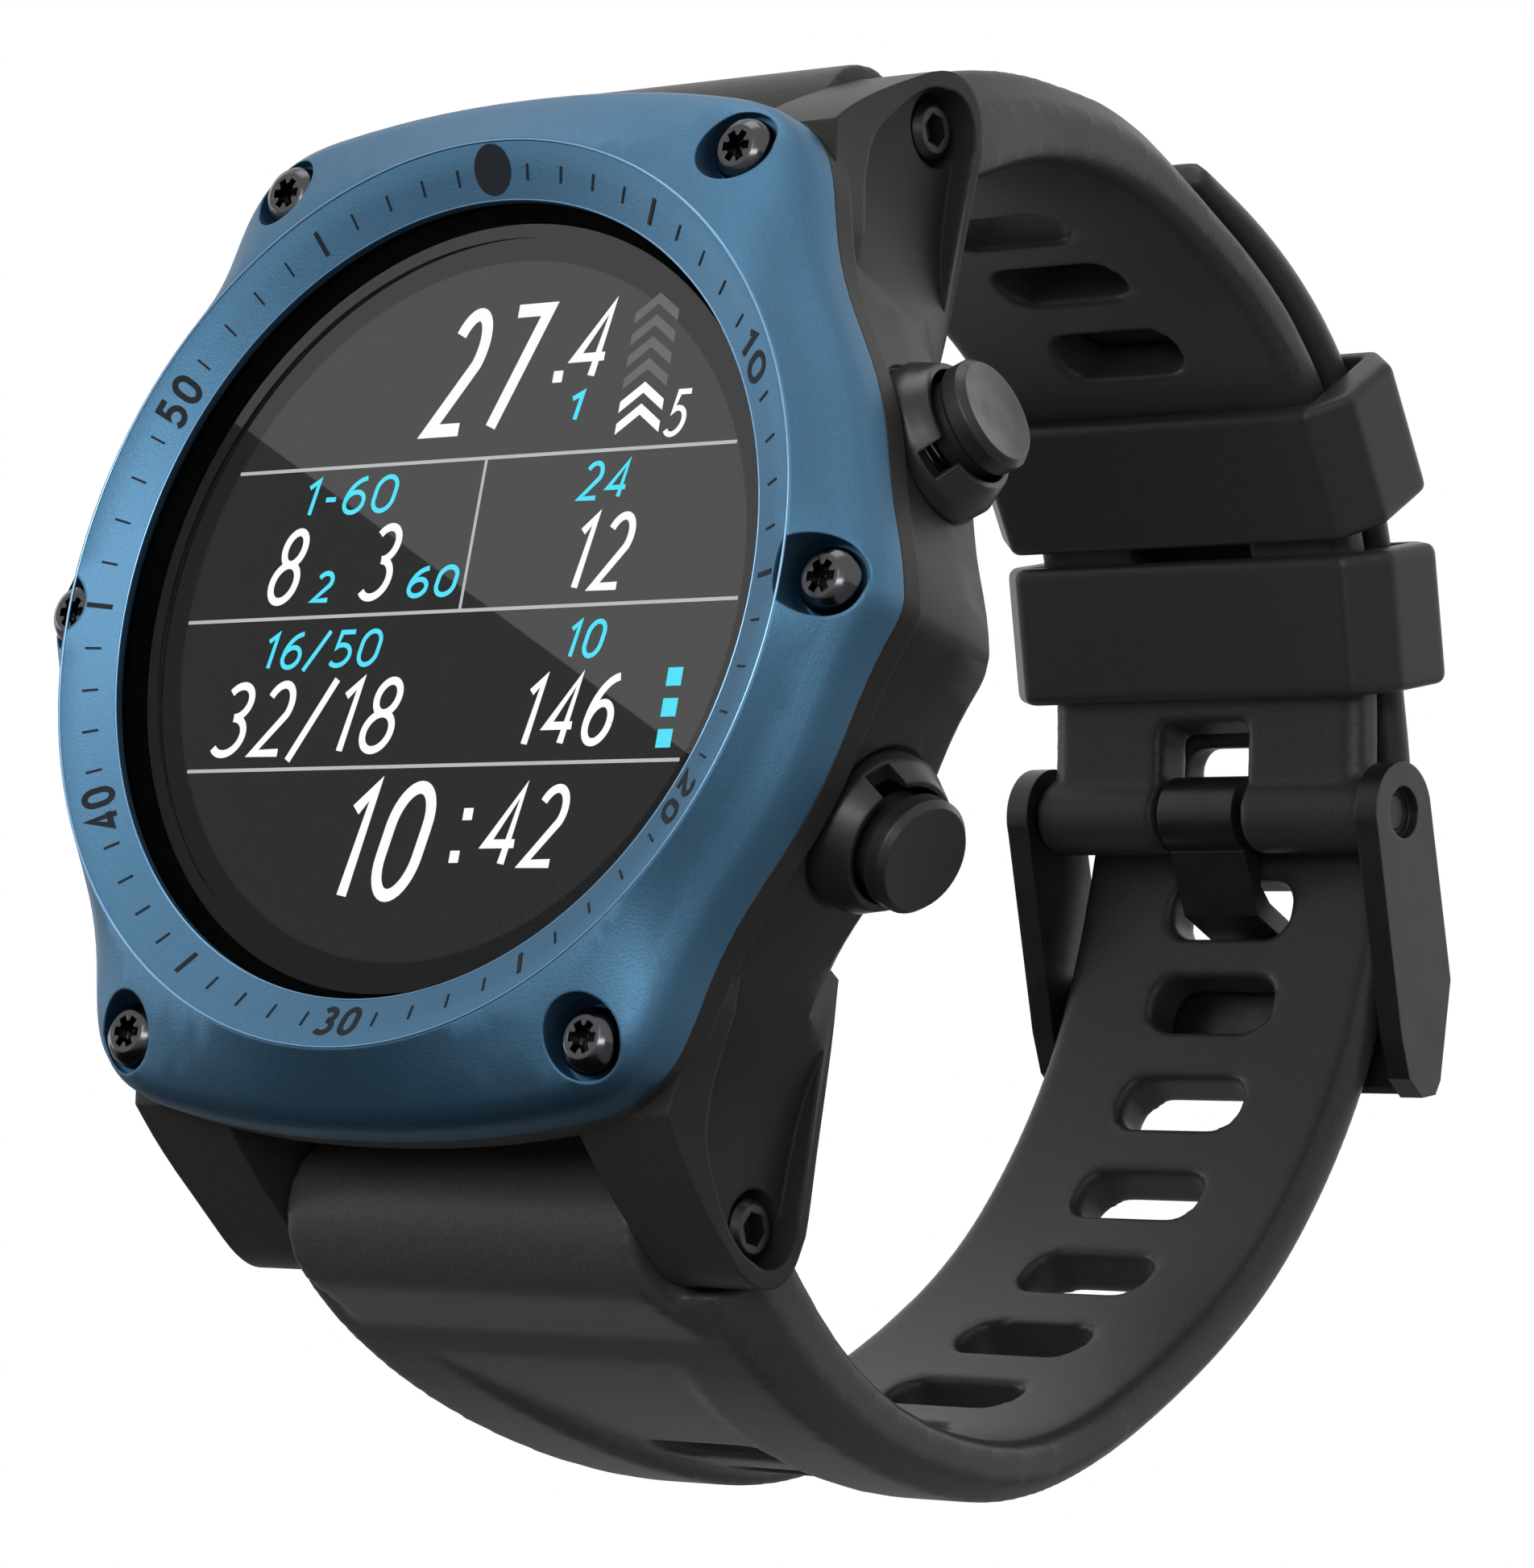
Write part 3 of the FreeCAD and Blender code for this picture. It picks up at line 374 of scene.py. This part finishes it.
def strokes_of(sign):
    """Centre lines of one digit or sign in a box one wide and one high."""
    if sign == "9":
        return [[(1 - x, 1 - y) for x, y in line] for line in strokes_of("6")]
    return {
        "0": [arc(0.5, 0.64, 0.5, 0.36, 0, 180) + arc(0.5, 0.36, 0.5, 0.36, 180, 360) + [(1.0, 0.64)]],
        "1": [[(0.0, 0.8), (0.75, 1.0), (0.75, 0.0)]],
        "2": [arc(0.47, 0.7, 0.45, 0.3, 155, -28) + [(0.02, 0.0), (1.0, 0.0)]],
        "3": [arc(0.42, 0.765, 0.46, 0.235, 145, -90), arc(0.42, 0.265, 0.55, 0.265, 90, -140)],
        "4": [[(0.78, 0.0), (0.78, 1.0), (0.0, 0.27), (1.05, 0.27)]],
        "5": [[(0.92, 1.0), (0.17, 1.0), (0.12, 0.56)] + arc(0.42, 0.31, 0.56, 0.31, 118, -140)],
        "6": [arc(0.5, 0.3, 0.48, 0.3, 0, 360, 30), arc(0.92, 0.33, 0.9, 0.67, 180, 95)],
        "7": [[(0.0, 1.0), (1.0, 1.0), (0.33, 0.0)]],
        "8": [arc(0.5, 0.765, 0.4, 0.235, -90, 270, 30), arc(0.5, 0.265, 0.5, 0.265, 90, 450, 30)],
        "/": [[(-0.1, -0.12), (1.0, 1.05)]],
        "-": [[(0.0, 0.42), (1.0, 0.42)]],
        ":": [[(0.3, 0.86), (0.3, 1.0)], [(0.3, 0.0), (0.3, 0.14)]],
        ".": [[(0.5, 0.0), (0.5, 1.0)]],
    }[sign]


def band(line, thick):
    """A line drawn with an even thickness, its corners mitred, as four-cornered pieces."""
    ends = []
    for k, (x, y) in enumerate(line):
        a, b = Vector(line[max(k - 1, 0)]), Vector(line[min(k + 1, len(line) - 1)])
        here = Vector((x, y))
        into, out = (here - a), (b - here)
        into = into.normalized() if into.length > 1e-9 else out.normalized()
        out = out.normalized() if out.length > 1e-9 else into
        side = Vector((-(into.y + out.y), into.x + out.x)).normalized()
        reach = min(1.0 / max(abs(side.dot(Vector((-into.y, into.x)))), 0.3), 2.2)
        ends.append((here + side * thick / 2 * reach, here - side * thick / 2 * reach))
    return [[tuple(p0), tuple(q0), tuple(q1), tuple(p1)] for (p0, q0), (p1, q1) in zip(ends, ends[1:])]


def digits(text, x0, x1, z0, z1, thick, lean=LEAN):
    """Digits drawn as even strokes in a box, in millimetres of the dial plane."""
    share = {"1": 0.62, "/": 0.85, "-": 0.6, ":": 0.3, ".": 0.25}
    wide = [share.get(c, 1.0) for c in text]
    high = z1 - z0
    unit = (x1 - x0 - lean * high) / (sum(wide) + DIGIT_GAP * (len(text) - 1))
    pieces, at = [], x0
    for sign, w in zip(text, wide):
        for line in strokes_of(sign):
            put = []
            for u, v in line:
                z = thick / 2 + v * (high - thick)
                put.append((at + thick / 2 + u * (w * unit - thick) + lean * z, z0 + z))
            pieces += band(put, thick)
        at += (w + DIGIT_GAP) * unit
    return shapes(pieces)


def shapes(polygons):
    """Flat polygons given as corner lists in millimetres."""
    mesh = bpy.data.meshes.new("shapes")
    verts, faces = [], []
    for poly in polygons:
        faces.append(range(len(verts), len(verts) + len(poly)))
        verts += [(x * MM, z * MM, 0) for x, z in poly]
    mesh.from_pydata(verts, [], [list(f) for f in faces])
    return mesh


def joined(name, meshes, outward, place=Matrix.Identity(4)):
    """One piece of several flat meshes, every face turned outward, then put in its place."""
    bm = bmesh.new()
    for mesh in meshes:
        bm.from_mesh(mesh)
    bmesh.ops.triangulate(bm, faces=bm.faces)
    for face in bm.faces:
        face.normal_update()
        if face.normal.dot(outward) < 0:
            face.normal_flip()
    bmesh.ops.transform(bm, matrix=place, verts=bm.verts)
    out = bpy.data.meshes.new(name)
    bm.to_mesh(out)
    bm.free()
    return link(bpy.data.objects.new(name, out))


# ---------------------------------------------------------------- CAD pieces
def dress_cad(finishes):
    slots = {s["node"]: s["material_slot"] for s in frame["record"]["subparts"]}
    where = {}
    for body, members in frame["record"]["behaviour"]["bodies"].items():
        for node in members:
            where[node] = body
    for node, slot in slots.items():
        if node in RUBBER_VOXEL:
            obj = soft_skin(node, node + "_skin", RUBBER_VOXEL[node])
        else:
            obj = merged_copy(node, node + "_skin")
        if node == "display_mask":
            for v in obj.data.vertices:
                away = math.hypot(v.co.x, v.co.z)
                if away < MASK_IN_R * MM:
                    v.co.x *= MASK_IN_R * MM / away
                    v.co.z *= MASK_IN_R * MM / away
        look = {"bezel_screws": "screw_steel", "buckle_pin": "black_steel"}.get(node, slot)
        dress(obj, finishes[look], where[node], slot, node)
        if node.startswith("spring_"):
            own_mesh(obj)


# ---------------------------------------------------------------- display
def square(x, z, size):
    h = size / 2
    return [[(x - h, z - h), (x + h, z - h), (x + h, z + h), (x - h, z + h)]]


def chevron(z):
    """One upward bar of the climb scale, its feet at height z."""
    (x0, x1), h, t = BAR_X, BAR_RISE, BAR_THICK
    m = (x0 + x1) / 2
    return [[(x0, z), (m, z + h), (m, z + h + t), (x0, z + t)], [(m, z + h), (x1, z), (x1, z + t), (m, z + h + t)]]


def make_border(mat):
    """The pale film between the display's edge and the ink, as one flat ring."""
    verts = [(r * MM * math.sin(math.tau * k / RING_STEPS), BORDER_Y * MM, r * MM * math.cos(math.tau * k / RING_STEPS))
             for r in (BORDER_IN_R, MASK_IN_R + 0.1) for k in range(RING_STEPS)]
    faces = []
    for k in range(RING_STEPS):
        after = (k + 1) % RING_STEPS
        faces.append((k, after, RING_STEPS + after, RING_STEPS + k))
    mesh = bpy.data.meshes.new("display_border")
    mesh.from_pydata(verts, [], faces)
    if mesh.polygons[0].normal.y > 0:
        mesh.flip_normals()
    dress(link(bpy.data.objects.new("display_border", mesh)), mat, "case", "display")


def make_display(finishes):
    white = [digits("27", -4.2, 3.2, 8.8, 15.4, 0.68), digits("4", 4.5, 7.5, 11.2, 15.2, 0.45),
             digits("5", 11.2, 12.9, 8.0, 10.4, 0.28), digits("8", -12.8, -10.0, 0.5, 4.5, 0.41),
             digits("3", -6.6, -3.8, 0.5, 4.5, 0.41), digits("12", 6.6, 11.0, 0.5, 4.4, 0.41),
             digits("32/18", -14.6, -1.9, -7.3, -3.4, 0.41), digits("146", 5.2, 11.8, -7.2, -3.6, 0.4),
             digits("10", -5.2, 1.6, -14.7, -8.7, 0.64), digits("42", 4.3, 9.9, -13.1, -9.0, 0.44)]
    white.append(shapes(square(4.05, 11.5, 0.6) + square(2.9, -12.5, 0.6) + square(3.3, -10.4, 0.6)))
    white.append(shapes(chevron(8.3) + chevron(8.3 + BAR_PITCH)))
    cyan = [digits("1-60", -11.4, -4.9, 5.05, 7.05, 0.25), digits("24", 6.6, 9.9, 5.05, 7.05, 0.25),
            digits("16/50", -12.2, -4.1, -2.85, -0.9, 0.25), digits("10", 7.4, 10.1, -2.85, -0.9, 0.25),
            digits("1", 4.9, 6.2, 9.1, 10.7, 0.26), digits("2", -9.6, -8.0, 0.55, 2.2, 0.26),
            digits("60", -3.4, 0.1, 0.55, 2.2, 0.26)]
    cyan.append(shapes(sum((square(14.6, z, 0.9) for z in (-6.9, -5.4, -3.9)), [])))
    grey = []
    for z, x0, x1 in ((7.56, -15.95, 15.95), (-0.18, -17.6, 17.6), (-7.95, -15.75, 15.75)):
        grey.append(shapes([[(x0, z - RULE_HALF), (x1, z - RULE_HALF), (x1, z + RULE_HALF), (x0, z + RULE_HALF)]]))
    grey.append(shapes([[(0.32, -RULE_HALF), (0.5, -RULE_HALF), (0.5, 7.5), (0.32, 7.5)]]))
    dim = [shapes(sum((chevron(10.6 + BAR_PITCH * k) for k in range(4)), []))]
    make_border(finishes["display"])
    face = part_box("display_panel")[0].y / MM - LIFT
    for name, meshes, mat in (("screen_digits", white, "display_white"), ("screen_labels", cyan, "display_cyan"),
                              ("screen_rules", grey, "display_grey"), ("screen_bars", dim, "display_dim")):
        obj = joined(name, meshes, Vector((0, 0, 1)), on_dial(face))
        dress(obj, finishes[mat], "case", "display")


# ---------------------------------------------------------------- dial markings
def cone_y(r):
    return CHAPTER_Y + (r - CHAPTER_R) * (CREST_Y - CHAPTER_Y) / (CREST_R - CHAPTER_R)


def tick_tree(mat):
    """Bars set round a sloping ring, left out where a numeral or the dot stands."""
    tree = bpy.data.node_groups.new("bars_on_minute_ring", "GeometryNodeTree")
    iface = tree.interface
    iface.new_socket("Geometry", in_out="INPUT", socket_type="NodeSocketGeometry")
    for name in ("Ring Radius", "Depth", "Length", "Width", "Slope"):
        iface.new_socket(name, in_out="INPUT", socket_type="NodeSocketFloat")
    for name in ("Count", "Skip Every", "Keep Every", "First"):
        iface.new_socket(name, in_out="INPUT", socket_type="NodeSocketInt")
    iface.new_socket("Geometry", in_out="OUTPUT", socket_type="NodeSocketGeometry")
    put = add(tree, "NodeGroupInput").outputs
    count = add(tree, "GeometryNodePoints", None, {"Count": put["Count"]})
    index = add(tree, "GeometryNodeInputIndex").outputs[0]
    turn = add(tree, "ShaderNodeMath", {"operation": "DIVIDE"}, {0: index, 1: put["Count"]})
    angle = add(tree, "ShaderNodeMath", {"operation": "MULTIPLY"}, {0: turn.outputs[0], 1: math.tau})
    sine = add(tree, "ShaderNodeMath", {"operation": "SINE"}, {0: angle.outputs[0]})
    cosine = add(tree, "ShaderNodeMath", {"operation": "COSINE"}, {0: angle.outputs[0]})
    x = add(tree, "ShaderNodeMath", {"operation": "MULTIPLY"}, {0: sine.outputs[0], 1: put["Ring Radius"]})
    z = add(tree, "ShaderNodeMath", {"operation": "MULTIPLY"}, {0: cosine.outputs[0], 1: put["Ring Radius"]})
    spot = add(tree, "ShaderNodeCombineXYZ", None, {0: x.outputs[0], 1: put["Depth"], 2: z.outputs[0]})
    moved = add(tree, "GeometryNodeSetPosition", None, {"Geometry": count.outputs[0], "Position": spot.outputs[0]})
    skip = add(tree, "FunctionNodeIntegerMath", {"operation": "MODULO"}, {0: index, 1: put["Skip Every"]})
    kept = add(tree, "FunctionNodeCompare", {"data_type": "INT", "operation": "NOT_EQUAL"},
               {2: skip.outputs[0], 3: put["First"]})
    bar_size = add(tree, "ShaderNodeCombineXYZ", None, {0: put["Width"], 1: 0.00003, 2: put["Length"]})
    bar = add(tree, "GeometryNodeMeshCube", None, {"Size": bar_size.outputs[0]})
    lean = add(tree, "FunctionNodeAxisAngleToRotation", None, {"Axis": (1, 0, 0), "Angle": put["Slope"]})
    spin = add(tree, "FunctionNodeAxisAngleToRotation", None, {"Axis": (0, 1, 0), "Angle": angle.outputs[0]})
    both = add(tree, "FunctionNodeRotateRotation", {"rotation_space": "GLOBAL"},
               {"Rotation": lean.outputs[0], "Rotate By": spin.outputs[0]})
    placed = add(tree, "GeometryNodeInstanceOnPoints", None,
                 {"Points": moved.outputs[0], "Selection": kept.outputs[0], "Instance": bar.outputs[0],
                  "Rotation": both.outputs[0]})
    real = add(tree, "GeometryNodeRealizeInstances", None, {"Geometry": placed.outputs[0]})
    coated = add(tree, "GeometryNodeSetMaterial", None, {"Geometry": real.outputs[0], "Material": mat})
    add(tree, "NodeGroupOutput", None, {0: coated.outputs[0]})
    return tree


def ring_of_bars(name, tree, **values):
    obj = link(bpy.data.objects.new(name, bpy.data.meshes.new(name)))
    mod = obj.modifiers.new("bars", "NODES")
    mod.node_group = tree
    for item in tree.interface.items_tree:
        key = item.name.replace(" ", "_")
        if item.in_out == "INPUT" and key in values:
            mod[item.identifier] = values[key]
    return evaluated(obj)


def numeral_on_ring(text, minute, height, upright):
    """Digits wrapped onto the sloping minute ring."""
    wide = height * (NUMERAL_PITCH * len(text) - 0.15)
    mesh = digits(text, -wide / 2, wide / 2, -height / 2, height / 2, height * NUMERAL_STROKE, 0.0)
    slant = math.hypot(CREST_R - CHAPTER_R, CREST_Y - CHAPTER_Y) / (CREST_R - CHAPTER_R)
    for v in mesh.vertices:
        u, w = v.co.x / MM, v.co.y / MM
        if not upright:
            u, w = -u, -w
        r = TICK_R + w / slant
        a = math.radians(minute * 6) + u / TICK_R
        v.co = Vector((r * math.sin(a), cone_y(r) - LIFT, r * math.cos(a))) * MM
    return mesh


def cut_line_painted_highlight(name, radius, y_mm, thick, mat):
    """A fine line where a tool has cut round an edge of the bezel, made bright partly by polish and partly by a painted
    highlight in its paler colour.
    """
    verts, faces, turns, sides = [], [], CUT_TURNS, CUT_SIDES
    for k in range(turns):
        a = math.tau * k / turns
        for j in range(sides):
            b = math.tau * j / sides
            r, y = radius + thick / 2 * math.cos(b), y_mm + thick / 2 * math.sin(b)
            verts.append((r * MM * math.sin(a), y * MM, r * MM * math.cos(a)))
            n, m = (k + 1) % turns, (j + 1) % sides
            faces.append((k * sides + j, k * sides + m, n * sides + m, n * sides + j))
    mesh = bpy.data.meshes.new(name)
    mesh.from_pydata(verts, [], faces)
    bm = bmesh.new()
    bm.from_mesh(mesh)
    bmesh.ops.recalc_face_normals(bm, faces=bm.faces)
    bm.to_mesh(mesh)
    bm.free()
    for poly in mesh.polygons:
        poly.use_smooth = True
    dress(link(bpy.data.objects.new(name, mesh)), mat, "case", "blue_anodised")


def make_markings(finishes):
    # the bezel's cut edges, each lined with a painted highlight
    cut_line_painted_highlight("crest_cut", CREST_R + 0.02, CREST_Y + 0.03, 0.15, finishes["cut_edge"])
    cut_line_painted_highlight("chapter_cut", CHAPTER_R + 0.03, CHAPTER_Y + 0.01, 0.12, finishes["cut_edge"])
    ink = finishes["engraving"]
    tree = tick_tree(ink)
    slope = -math.atan2(CREST_Y - CHAPTER_Y, CREST_R - CHAPTER_R)
    base = {"Ring_Radius": TICK_R * MM, "Depth": (cone_y(TICK_R) - LIFT) * MM, "Slope": slope}
    small = ring_of_bars("minute_ticks", tree, Count=60, Length=TICK_LONG * MM, Width=TICK_WIDE * MM,
                         Skip_Every=5, First=0, **base)
    large = ring_of_bars("hour_ticks", tree, Count=12, Length=HOUR_LONG * MM, Width=HOUR_WIDE * MM,
                         Skip_Every=2, First=0, **base)
    numerals = [numeral_on_ring(t, m, NUMERAL_H, m != 30)
                for t, m in (("10", 10), ("20", 20), ("30", 30), ("40", 40), ("50", 50))]
    dot = []
    for k in range(DOT_STEPS):
        a = math.tau * k / DOT_STEPS
        dot.append((DOT_R * math.sin(a), TICK_R + 0.15 + DOT_R * math.cos(a)))
    disc = bpy.data.meshes.new("dot")
    disc.from_pydata([(x * MM, (cone_y(math.hypot(x, z)) - LIFT) * MM, z * MM) for x, z in dot], [],
                     [list(range(len(dot)))])
    marks = joined("dial_numerals", numerals + [disc], Vector((0, -1, 0)))
    for obj in (small, large, marks):
        dress(obj, ink, "case", "mask_ink")


# ---------------------------------------------------------------- stage, lights, camera
def aim(obj, at, target, up=(0, 0, 1)):
    back = (Vector(at) - Vector(target)).normalized()
    right = Vector(up).cross(back).normalized()
    obj.matrix_world = Matrix.Translation(at) @ Matrix((right, back.cross(right), back)).transposed().to_4x4()


def soft_lamp(name, at, size, power, target=(0, 0.02, 0)):
    lamp = bpy.data.lights.new(name, "AREA")
    lamp.shape = "RECTANGLE"
    lamp.size, lamp.size_y = size
    lamp.energy = power
    obj = link(bpy.data.objects.new(name, lamp))
    aim(obj, at, target)
    return obj


def make_stage():
    floor = link(bpy.data.objects.new("pale_floor", bpy.data.meshes.new("pale_floor")))
    s, z = FLOOR_HALF, FLOOR_Z
    floor.data.from_pydata([(-s, -s, z), (s, -s, z), (s, s, z), (-s, s, z)], [], [(0, 1, 2, 3)])
    mat, sh = finish("pale_floor_paper", "#e6e6e6", 0.8)
    floor.data.materials.append(mat)

    # a dark card under the front, which the lower bezel mirrors
    card = link(bpy.data.objects.new("dark_card", bpy.data.meshes.new("dark_card")))
    z = CARD_Z
    card.data.from_pydata([(-0.2, -0.13, z), (0.06, -0.13, z), (0.06, 0.06, z), (-0.2, 0.06, z)], [],
                          [(0, 1, 2, 3)])
    mat, sh = finish("dark_card_felt", "#0a0a0a", 0.9)
    card.data.materials.append(mat)
    card.visible_camera = card.visible_shadow = card.visible_diffuse = False

    world = bpy.data.worlds.new("studio")
    bpy.context.scene.world = world
    world.use_nodes = True
    tree = world.node_tree
    tree.nodes.clear()
    path = add(tree, "ShaderNodeLightPath")
    a = add(tree, "ShaderNodeMath", {"operation": "MAXIMUM"},
            {0: path.outputs["Is Camera Ray"], 1: path.outputs["Is Glossy Ray"]})
    b = add(tree, "ShaderNodeMath", {"operation": "MAXIMUM"},
            {0: a.outputs[0], 1: path.outputs["Is Transmission Ray"]})
    power = add(tree, "ShaderNodeMapRange", None, {"Value": b.outputs[0], "To Min": WORLD_DIFFUSE, "To Max": 1.0})
    sky = add(tree, "ShaderNodeBackground", None, {"Color": (1, 1, 1, 1), "Strength": power.outputs[0]})
    add(tree, "ShaderNodeOutputWorld", None, {"Surface": sky.outputs[0]})

    soft_lamp("key_softbox", (0.03, -0.95, 0.18), (0.4, 0.4), 3.0)
    soft_lamp("left_softbox", (-0.86, -0.36, -0.03), (0.25, 0.3), 1.3)
    soft_lamp("top_softbox", (-0.15, -0.2, 0.9), (0.5, 0.5), 1.8)
    soft_lamp("low_softbox", (0.42, -0.85, -0.04), (0.45, 0.25), 3.0)
    soft_lamp("back_softbox", (0.1, 0.75, 0.45), (0.6, 0.3), 0.4)


def make_camera():
    cam = bpy.data.cameras.new("camera")
    cam.lens, cam.sensor_width = 138.97, 36.0
    cam.clip_start, cam.clip_end = 0.01, 20.0
    obj = link(bpy.data.objects.new("camera", cam))
    back = Vector((0.62308518, -0.74836803, -0.22739865))
    up = Vector((0.01669594, -0.2779417, 0.96045284))
    right = up.cross(back).normalized()
    obj.matrix_world = (Matrix.Translation((0.19328, -0.21904, -0.07203))
                        @ Matrix((right, back.cross(right), back)).transposed().to_4x4())
    bpy.context.scene.camera = obj


make_camera()
make_stage()
finishes = make_finishes()
dress_cad(finishes)
make_display(finishes)
make_markings(finishes)
bpy.context.scene.view_settings.view_transform = "Standard"

bpy.context.view_layer.update()
